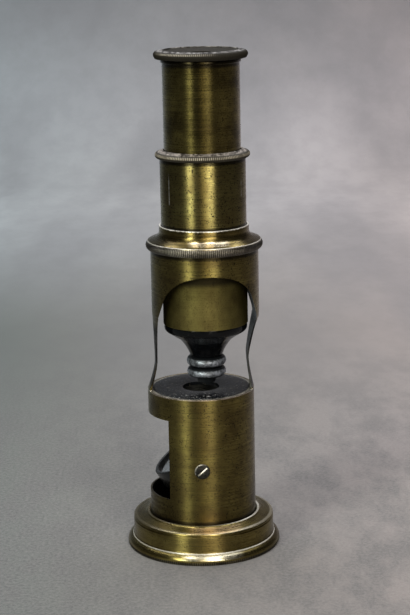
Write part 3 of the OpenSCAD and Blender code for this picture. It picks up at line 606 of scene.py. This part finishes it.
def frameBrass(name):
    # the tube's brass: blackened inside, dark low down, with painted shade on the straps, rubbed round the
    # stage
    look = frameLook
    top, strapTop, wall = look["drumTop"], look["strapTop"], look["insideRadius"]
    brass = agedBrass(name, barrelX, **look["metal"])
    drumX = brass.x + barrelX
    drumRadius = (drumX ** 2.0 + brass.y * brass.y) ** 0.5
    low = brass.fall(brass.z, top, top + 0.4)
    nearest = drumRadius * low + brass.radius * (1.0 - low)
    inside = brass.fall(nearest, wall, wall + 0.1) * (1.0 - brass.step(brass.z, top - 0.5, top - 0.4) * low)
    strap = brass.between(brass.z, top, top + 2.5, strapTop, strapTop + 4.0)
    lowDown = 1.0 - brass.fitted(brass.z, 8.0, 46.0, 0.62, 1.0)
    tone = brass.mixed(lowDown, brass.fed("Base Color"), look["lowDown"])
    # painted shade on the straps
    tone = brass.mixed(strap * look["strapCover"], tone, look["strap"])
    edge = brass.between(brass.z, top - 0.45, top - 0.3, top - 0.15, top)
    edge = edge * brass.fitted(brass.y, -5.0, 5.0, 1.0, 0.2)
    ends = brass.step(drumX ** 2.0, look["rimEndFrom"], look["rimEndTo"])
    rubbed = edge * brass.fitted(brass.noise(0.4, detail=3.0, rough=0.6), 0.35, 0.6, 0.3, 1.0)
    tone = brass.mixed(rubbed, tone, brass.mixed(ends, look["rim"], look["rimEnd"]))
    brass.put(colour=brass.mixed(inside, tone, look["inside"]), metallic=1.0 - inside * 0.9,
              roughness=brass.fed("Roughness") + strap * look["strapRough"])
    return brass


focusLook = {
    "metal": dict(seed=3.0, spots=1.0, light=(0.23, 0.20, 0.072), dark=(0.10, 0.072, 0.028),
                  # tarnished below the collar, with a painted shadow along the top of that
                  dull=dict(low=76.0, high=92.5, light=(0.21, 0.18, 0.062), dark=(0.10, 0.078, 0.028)),
                  # painted shadows under the tube's ring and at the collar's lip
                  paintedShadow=(dict(height=132.8, size=1.3), dict(height=110.8, size=0.9))),
    "scratches": (dict(aside=-11.1, low=118.4, high=129.5, strength=1.0),
                  dict(aside=12.4, low=120.5, high=127.5, strength=0.6)),
    "bare": (0.95, 0.90, 0.80),
}


def scratchedBrass(name):
    # the focusing tube: two upright scratches above the collar, tarnished below it, with a painted shadow
    # under the barrel's arch
    brass = agedBrass(name, barrelX, **focusLook["metal"])
    tone = brass.fed("Base Color")
    breaks = brass.fitted(brass.noise(0.6, detail=2.0, rough=0.5), 0.35, 0.55, 0.2, 1.0)
    for scratch in focusLook["scratches"]:
        low, high = scratch["low"], scratch["high"]
        line = brass.fall((brass.x - scratch["aside"]) ** 2.0, 0.004, 0.02)
        line = line * brass.between(brass.z, low, low + 0.6, high - 3.0, high)
        tone = brass.mixed(line * (brass.y < 0.0) * breaks * scratch["strength"], tone, focusLook["bare"])
    brass.put(colour=tone)
    return brass


def blackLacquer(name, axisX, worn, rough, base=(0.010, 0.010, 0.012), tint=(0.035, 0.034, 0.036),
                 under=(0.35, 0.33, 0.30), specular=0.5, edges=(), slid=None):
    paint = Finish(name, axisX)
    cloud = paint.noise(0.35, detail=4.0, rough=0.6)
    grit = paint.noise(1.1, detail=4.0, rough=0.65)
    chip = paint.step(grit, 0.66 - worn * 0.3, 0.70 - worn * 0.3) * min(1.0, worn * 2)
    if edges:
        rubbed = wearAndHighlightSpots(paint, edges, grit) * paint.fitted(cloud, 0.35, 0.6, 0.3, 1.0)
        chip = paint.fitted(chip + rubbed, 0.0, 1.0, 0.0, 1.0)
    tone = paint.mixed(paint.fitted(cloud, 0.35, 0.7, 0.0, 1.0), base, tint)
    tone = paint.mixed(chip, tone, under)
    if slid:
        # bare marks where slides are pushed in over the front
        marks = paint.step(paint.noise(0.9, detail=4.0, rough=0.7, deep=1.6), 0.60, 0.66)
        marks = marks * paint.step(-1.0 * paint.y, slid["start"], slid["end"])
        tone = paint.mixed(marks * slid["cover"], tone, slid["colour"])
    paint.put(colour=tone, roughness=paint.fitted(cloud, 0.3, 0.7, rough - 0.05, rough + 0.15),
              metallic=chip * 0.8, specular=specular, normal=paint.bumped(cloud, 0.2))
    return paint


def wornRing(name, peak, low, high, dark, bare, metalness, reeds=0, bevel=None, paintedHighlightSpan=None, specular=0.5,
             rough=0.34, blotched=False):
    # dark, rubbed bare where it is widest and on top of its reeds, with a streaky upper bevel
    metal = Finish(name, barrelX)
    cloud = metal.noise(0.25, detail=4.0, rough=0.65)
    grit = metal.noise(1.8, detail=3.0, rough=0.6)
    rubbed = metal.step(metal.radius + metal.ragged(grit, 0.12), peak - 0.45, peak - 0.1)
    if reeds:
        rubbed = rubbed * ridges(metal, reeds)
    rubbed = rubbed * metal.fitted(cloud, 0.38, 0.6, 0.35, 1.0)
    rubbed = rubbed * metal.between(metal.z, low - 0.1, low + 0.1, high - 0.1, high + 0.1)
    if paintedHighlightSpan:
        # a painted highlight: rubbed only between two places, from left to right
        left, right = paintedHighlightSpan
        rubbed = rubbed * metal.between(metal.x, left - 3.0, left, right, right + 5.0)
    if blotched:
        rubbed = rubbed * metal.fitted(metal.noise(0.7, detail=3.0, rough=0.6), 0.42, 0.56, 0.25, 1.0)
    tone = metal.mixed(rubbed, dark, bare)
    if bevel:
        streaks = metal.noise(0.8, detail=5.0, rough=0.75, deep=0.35)
        above = metal.step(metal.z, bevel["height"] - 0.05, bevel["height"] + 0.15)
        streaky = metal.mixed(metal.fitted(streaks, 0.42, 0.64, 0.0, 1.0), bevel["dark"], bevel["light"])
        tone = metal.mixed(above, tone, streaky)
    metal.put(colour=tone, metallic=metal.fitted(rubbed, 0.0, 1.0, 0.7 * metalness, metalness),
              roughness=metal.fitted(grit, 0.3, 0.7, rough, rough + 0.22), specular=specular,
              normal=metal.bumped(grit, 0.3))
    return metal


screwLook = {
    # how far each slot is turned, in degrees from level
    "frontSlotTurn": 42.0, "rearSlotTurn": 0.0,
    # millimetres from the middle between which each fades, squared for the slot's half width
    "slotHalfSquared": (0.07, 0.12), "slotEnd": (1.9, 2.1), "rim": (2.3, 2.4), "rimHighlightStrength": 0.32,
    "bright": (0.80, 0.78, 0.72), "dark": (0.006, 0.006, 0.006), "brown": (0.03, 0.028, 0.025),
}


def screwMetal(name, slotTurn):
    # dark head with a bright slot, and a painted highlight on the rim at its upper left, seen from the front
    look = screwLook
    steel = Finish(name)
    up = steel.z - mirrorPivot
    turn = math.radians(slotTurn)
    across = (steel.x * math.sin(turn) - up * math.cos(turn)) ** 2.0
    away = (steel.x * steel.x + up * up) ** 0.5
    grit = steel.noise(1.6, detail=3.0, rough=0.6)
    slot = steel.fall(across, *look["slotHalfSquared"]) * steel.fall(away, *look["slotEnd"])
    # a painted highlight on the rim's upper left
    rim = steel.step(away + steel.ragged(grit, 0.12), *look["rim"]) * steel.step(up - steel.x, 0.0, 2.2)
    bright = steel.fitted(slot + rim * look["rimHighlightStrength"], 0.0, 1.0, 0.0, 1.0)
    tone = steel.mixed(steel.fitted(grit, 0.35, 0.65, 0.0, 1.0), look["dark"], look["brown"])
    tone = steel.mixed(bright, tone, look["bright"])
    steel.put(colour=tone, metallic=steel.fitted(bright, 0.0, 1.0, 0.5, 0.85), specular=0.2,
              roughness=steel.fitted(grit, 0.3, 0.7, 0.35, 0.5), normal=steel.bumped(grit, 0.3))
    return steel


lensLook = {"tint": (0.95, 0.98, 0.98), "clean": 0.02, "dusty": 0.08, "ior": 1.5}


def plainGlass(name):
    look = lensLook
    lens = Finish(name)
    dust = lens.noise(0.8, detail=3.0, rough=0.6)
    polish = lens.fitted(dust, 0.3, 0.7, look["clean"], look["dusty"])
    lens.put(colour=look["tint"], roughness=polish, transmission=1.0, ior=look["ior"])
    return lens


mirrorLook = {"silver": (0.82, 0.83, 0.84), "tarnish": (0.45, 0.43, 0.40), "cover": 0.6, "clean": 0.03,
              "dusty": 0.22}


def silveredGlass(name):
    look = mirrorLook
    glass = Finish(name)
    dust = glass.noise(0.5, detail=4.0, rough=0.6)
    tone = glass.mixed(glass.fitted(dust, 0.4, 0.75, 0.0, look["cover"]), look["silver"], look["tarnish"])
    polish = glass.fitted(dust, 0.35, 0.7, look["clean"], look["dusty"])
    glass.put(colour=tone, metallic=1.0, roughness=polish)
    return glass


# the turned pieces; an outline's points are radius and height above the bottom, and an arc is its
# centre's radius and height, its own radius, its first and last angle in degrees and its steps;
# an outline that isn't closed starts and ends on the axis

footCut = {
    "bottom": 0.0, "cornerBreak": 0.12, "closed": False,
    "reeds": dict(count=216, depth=0.15, low=0.12, high=1.6, inside=24.3),
    "outline": {
        "underside": [(0, 1.2), (21.5, 1.2), (21.5, 0)],
        "bead": (24.0, 1.2, 2.1, -34.8, 79, 20),
        "step": [(24.4, 3.5), (23.95, 3.9)],
        "groove": (23.95, 9.35, 0.35, 270, 90, 8),
        "shoulder": (23.15, 9.65, 0.8, 5, 90, 10),
        "rollEdge": [(19.72, 11.1)],
        "roll": (18.87, 10.397, 1.103, 48.0, 140.4, 11),
        "inside": [(18.02, 3.2), (0, 3.2)],
    },
}

collarCut = {
    "bottom": 102.6, "cornerBreak": 0.12,
    "reeds": dict(count=184, depth=0.22, low=0.15, high=2.6, inside=18.2),
    "outline": {
        "spigot": [(14.72, -4), (17.38, -4), (17.38, 0)],
        "bead": (17.95, 1.55, 1.55, -90, 52, 18),
        "sharpEdge": [(18.9, 3.05)],
        "cove": (17.55, 6.35, 2.6, 250, 180, 14),
        "lip": [(14.95, 8.05), (14.35, 8.05), (14.35, 7.35), (14.72, 7.35)],
    },
}

ringCut = {
    "bottom": 133.0, "cornerBreak": 0.08,
    "reeds": dict(count=150, depth=0.2, low=0.1, high=2.0, inside=14.8),
    "outline": {
        "spigot": [(13.22, -4), (13.58, -4), (13.58, 0)],
        "bead": (14.7, 1.0, 1.0, -90, 70.9, 18),
        "lip": [(13.05, 2.7), (12.85, 2.7), (12.85, 2.0), (13.22, 2.0)],
    },
}

capCut = {
    "bottom": 165.4, "cornerBreak": 0.08,
    "reeds": dict(count=150, depth=0.22, low=0.2, high=2.4, inside=14.6),
    "outline": {
        "plate": [(3.5, 1.8), (12.5, 2.3), (12.5, 2.7), (13.0, 2.7)],
        "bead": (14.3, 1.25, 1.15, 78.1, -30.4, 18),
        "spigot": [(14.9, 0), (12.05, 0), (12.05, -6), (10.85, -6), (10.85, 1.2)],
        "lensSeat": [(7.62, 1.2), (7.62, -2.4), (6.02, -2.4), (6.02, 1.2), (3.5, 1.2)],
    },
}

focusTubeCut = {
    "bottom": 77.3, "cornerBreak": 0.12, "steps": 192,
    "outline": {"wall": [(13.6, 0), (14.2, 0), (14.2, 55.7), (13.6, 55.7)]},
}

drawTubeCut = {
    "bottom": 112.1, "cornerBreak": 0.2, "steps": 192,
    "outline": {
        "wall": [(12.1, 0), (12.7, 0)],
        "rim": [(12.7, 52.0), (13.15, 52.0), (13.15, 53.0), (12.1, 53.0)],
    },
}

noseCut = {
    "bottom": 66.1, "cornerBreak": 0.15, "steps": 144,
    "outline": {
        "flare": bowed((5.45, 0), (9.1, 5.9), 0.4),
        "shoulder": (12.25, 9.9, 1.7, -57.7, 0, 12),
        "spigot": [(13.95, 11.2), (13.58, 11.2), (13.58, 14.2)],
        "inside": [(9.1, 14.2), (4.25, 5.2), (4.25, 0)],
    },
}

upperCellCut = {
    "bottom": 62.4, "cornerBreak": 0.1, "steps": 96,
    "outline": {
        "underside": [(3.7, 0)],
        "bead": (4.975, 1.7, 1.7, -90, 90, 16),
        "thread": [(4.2, 3.4), (4.2, 7.9)],
        "bore": [(3.22, 7.9), (3.22, 5.6), (2.6, 5.6), (2.6, 2.4), (3.7, 2.4)],
    },
}

lowerCellCut = {
    "bottom": 58.7, "cornerBreak": 0.1, "steps": 96,
    "outline": {
        "tip": [(2.22, -2), (2.9, -2), (3.35, 0)],
        "bead": (4.85, 1.7, 1.7, -90, 90, 16),
        "thread": [(3.65, 3.4), (3.65, 5.8)],
        "bore": [(1.6, 5.8), (1.6, -0.68), (2.22, -0.68)],
    },
}

stageDiscCut = {
    "bottom": 54.8, "cornerBreak": 0.12, "steps": 144,
    "outline": {
        "underside": [(6.2, -1.2), (16.78, -1.2)],
        "skirt": [(16.78, -4.2), (17.38, -4.2)],
        "top": [(17.38, 0), (6.2, 0)],
    },
}

# the mirror's two pieces are turned upright, with their heights measured from the pivot
mirrorCellCut = {
    "bottom": 0.0, "cornerBreak": 0.4, "steps": 128, "closed": False,
    "outline": {
        "back": [(0, -1.2), (12.1, -1.2), (12.1, -2.0), (16.5, -2.0)],
        "rim": [(16.5, 4.2), (15.1, 4.2)],
        "floor": [(15.1, 1.2), (0, 1.2)],
    },
}


def hollowFace(radius, edge, hollow):
    # the mirror's hollow face, from its edge to its middle
    return [(r, edge - hollow * (1 - (r / radius) ** 2)) for r in (13.5, 12, 10, 8, 6, 4, 2, 0)]


mirrorGlassCut = {
    "bottom": 0.0, "cornerBreak": 0.15, "steps": 128, "closed": False,
    "outline": {
        "back": [(0, 1.22), (15.08, 1.22), (15.08, 3.02)],
        "face": hollowFace(15.08, 3.02, 0.4),
    },
}

tubeWalls = {
    "outside": 18.0, "inside": 17.4, "slack": 0.004,
    # where the walls are whole cylinders: their axis, and from which height to which
    "stretches": ((0.0, 3.1, 54.9), (barrelX, 80.9, 102.7)),
}


def makeFrame():
    # the drum, straps and barrel, with the walls' shading taken from the true cylinders
    walls = tubeWalls
    piece = copied("drum_frame", "drumAndBarrel")
    mesh = piece.data
    shading = [Vector(corner.vector) for corner in mesh.corner_normals]
    for face in mesh.polygons:
        spots = [mesh.vertices[mesh.loops[i].vertex_index].co / mm for i in face.loop_indices]
        for axis, low, high in walls["stretches"]:
            if abs(face.normal.z) >= 0.1 or not all(low < spot.z < high for spot in spots):
                continue
            reach = [math.hypot(spot.x - axis, spot.y) for spot in spots]
            for radius, way in ((walls["outside"], 1), (walls["inside"], -1)):
                if all(abs(r - radius) < walls["slack"] for r in reach):
                    for i, spot in zip(face.loop_indices, spots):
                        out = Vector((spot.x - axis, spot.y, 0)).normalized() * way
                        if out.dot(face.normal) > 0.9:
                            shading[i] = out
    mesh.normals_split_custom_set(shading)
    return piece


# what each piece is finished with; low and high are the heights that a band lies between, and peak
# is its widest radius

footLook = {
    "seed": 1.0, "rough": 0.27, "light": (0.28, 0.225, 0.075), "bare": (0.66, 0.64, 0.60),
    # worn edges, partly real wear and partly painted highlights; the last, along the roll's crest, is a
    # painted highlight
    "worn": (dict(radius=24.35, height=3.5, size=0.28, strength=1.0, leftShare=0.8),
             dict(radius=18.87, height=11.5, size=0.5, strength=1.0, leftShare=0.15),
             dict(radius=23.3, height=10.4, size=0.7, strength=0.4, leftShare=0.3)),
    # painted highlights on the foot's flare and on its sloping top
    "paintedHighlights": (dict(radius=25.2, height=2.4, size=1.3, aside=3.0, colour=(0.62, 0.57, 0.42)),
             dict(radius=21.7, height=10.8, size=2.2, aside=3.8, colour=(0.85, 0.62, 0.34))),
    "bead": dict(peak=26.1, low=0.0, high=1.1, reeds=footCut["reeds"]["count"], gaps=(0.014, 0.012, 0.009),
                 tops=(0.15, 0.13, 0.09)),
}

collarLook = {
    "seed": 2.0, "rough": 0.25, "light": (0.235, 0.18, 0.062), "bare": (0.80, 0.78, 0.76),
    # worn lip and sharp edge, partly real wear and partly painted highlights
    "worn": (dict(radius=14.65, height=110.65, size=0.45, strength=1.0, leftShare=1.0),
             dict(radius=18.88, height=105.62, size=0.24, strength=0.9, leftShare=0.8)),
    # a painted highlight on the collar's cove
    "paintedHighlights": (dict(radius=16.6, height=106.4, size=1.5, aside=1.5, colour=(0.92, 0.80, 0.60)),),
    "bead": dict(peak=19.5, low=102.6, high=105.3, reeds=collarCut["reeds"]["count"],
                 gaps=(0.052, 0.045, 0.036), tops=(0.32, 0.295, 0.26)),
}

drawLook = {
    "seed": 4.0, "rough": 0.225, "light": (0.205, 0.166, 0.052), "dark": (0.038, 0.027, 0.011),
    # a painted shadow under the cap
    "paintedShadow": (dict(height=164.4, size=1.9),),
}

ringLook = {
    "peak": 15.6, "low": 133.95, "high": 135.1, "dark": (0.03, 0.026, 0.020), "bare": (0.37, 0.33, 0.27),
    "bevel": dict(height=135.0, dark=(0.040, 0.035, 0.032), light=(0.40, 0.36, 0.335)),
    "reeds": ringCut["reeds"]["count"], "metalness": 0.45, "specular": 0.2, "rough": 0.42,
}

capLook = {
    "peak": 15.2, "low": 167.0, "high": 167.75, "dark": (0.016, 0.014, 0.011), "bare": (0.34, 0.31, 0.27),
    "bevel": dict(height=167.75, dark=(0.012, 0.011, 0.011), light=(0.26, 0.25, 0.25)),
    "reeds": capCut["reeds"]["count"], "metalness": 0.08, "specular": 0.08, "rough": 0.5,
    # the cap's painted highlight lies between these, from left to right
    "paintedHighlightSpan": (-12.0, 1.0),
}

beadLook = {
    "peak": 6.55, "low": 56.0, "high": 66.2, "dark": (0.010, 0.012, 0.016), "bare": (0.46, 0.50, 0.61),
    "metalness": 0.75, "blotched": True,
}

noseLook = {
    "worn": 0.03, "rough": 0.14, "specular": 0.2, "base": (0.0015, 0.0016, 0.002),
    "tint": (0.002, 0.0025, 0.0035),
}

stageLook = {
    "worn": 0.13, "rough": 0.17, "specular": 0.15, "base": (0.003, 0.0035, 0.0045),
    "tint": (0.008, 0.009, 0.012), "under": (0.42, 0.39, 0.33),
    "edges": (dict(radius=17.2, height=54.8, size=1.0, strength=0.6, leftShare=0.8),),
    "slid": dict(start=7.0, end=13.0, cover=0.9, colour=(0.62, 0.62, 0.64)),
}

mirrorCellLook = {
    "worn": 0.05, "rough": 0.25, "specular": 0.3, "base": (0.003, 0.003, 0.003),
    "tint": (0.006, 0.006, 0.007), "under": (0.30, 0.29, 0.28),
}

springLook = {"seed": 5.0, "spots": 0.1, "rough": 0.4}
stopLook = {"worn": 0.0, "rough": 0.7}
leadLook = {"worn": 0.4, "rough": 0.6, "under": (0.2, 0.2, 0.21)}

barrelBrass = frameBrass("barrelBrass")
footBrass = agedBrass("footBrass", 0.0, **footLook)
collarBrass = agedBrass("collarBrass", barrelX, **collarLook)
focusBrass = scratchedBrass("focusBrass")
drawBrass = agedBrass("drawBrass", barrelX, **drawLook)
springBrass = agedBrass("springBrass", barrelX, **springLook)
ringMetal = wornRing("ringMetal", **ringLook)
capMetal = wornRing("capMetal", **capLook)
noseBlack = blackLacquer("noseBlack", barrelX, **noseLook)
stageBlack = blackLacquer("stageBlack", 0.0, **stageLook)
cellBlack = blackLacquer("cellBlack", 0.0, **mirrorCellLook)
stopBlack = blackLacquer("stopBlack", barrelX, **stopLook)
cellWorn = wornRing("cellWorn", **beadLook)
screwDark = screwMetal("screwDark", screwLook["frontSlotTurn"])
rearScrewDark = screwMetal("rearScrewDark", screwLook["rearSlotTurn"])
leadGrey = blackLacquer("leadGrey", 0.0, **leadLook)
lensGlass = plainGlass("lensGlass")
silver = silveredGlass("silver")
print("finishes mixed")

dressed(lathed("foot", footCut), "foot", "stand", footBrass)
dressed(lathed("collar", collarCut, barrelX), "collar", "stand", collarBrass)
dressed(lathed("tubeRing", ringCut, barrelX), "tube_ring", "focusing_body", ringMetal)
dressed(lathed("eyepieceCap", capCut, barrelX), "eyepiece_cap", "eyepiece", capMetal)
dressed(lathed("focusTube", focusTubeCut, barrelX), "focus_tube", "focusing_body", focusBrass)
dressed(lathed("drawTube", drawTubeCut, barrelX), "draw_tube", "draw_body", drawBrass)
dressed(lathed("nose", noseCut, barrelX), "nose_cone", "focusing_body", noseBlack)
dressed(lathed("upperCell", upperCellCut, barrelX), "upper_lens_cell", "upper_objective", cellWorn)
dressed(lathed("lowerCell", lowerCellCut, barrelX), "lower_lens_cell", "lower_objective", cellWorn)
dressed(lathed("stageDisc", stageDiscCut), "stage_disc", "stand", stageBlack)
dressed(tilted(lathed("mirrorCell", mirrorCellCut)), "mirror_cell", "mirror", cellBlack)
dressed(tilted(lathed("mirrorGlass", mirrorGlassCut)), "mirror_glass", "mirror", silver)
print("turned pieces made")

dressed(makeFrame(), "drum_frame", "stand", barrelBrass)
for node, name, body, finish in (
        ("front_pivot_screw", "frontScrew", "stand", screwDark),
        ("rear_pivot_screw", "rearScrew", "stand", rearScrewDark),
        ("guide_sleeve", "guideSleeve", "stand", springBrass),
        ("foot_ballast", "footWeight", "stand", leadGrey),
        ("draw_sleeve", "drawSleeve", "focusing_body", springBrass),
        ("glare_stop", "glareStop", "focusing_body", stopBlack),
        ("field_stop", "fieldStop", "draw_body", stopBlack),
        ("field_lens_cell", "fieldCell", "draw_body", springBrass),
        ("field_lens", "fieldLens", "draw_body", lensGlass),
        ("upper_lens", "upperLens", "upper_objective", lensGlass),
        ("lower_lens", "lowerLens", "lower_objective", lensGlass),
        ("eye_lens", "eyeLens", "eyepiece", lensGlass),
        ("eye_lens_ring", "eyeLensRing", "eyepiece", springBrass)):
    dressed(copied(node, name), node, body, finish)
print("copied pieces dressed")
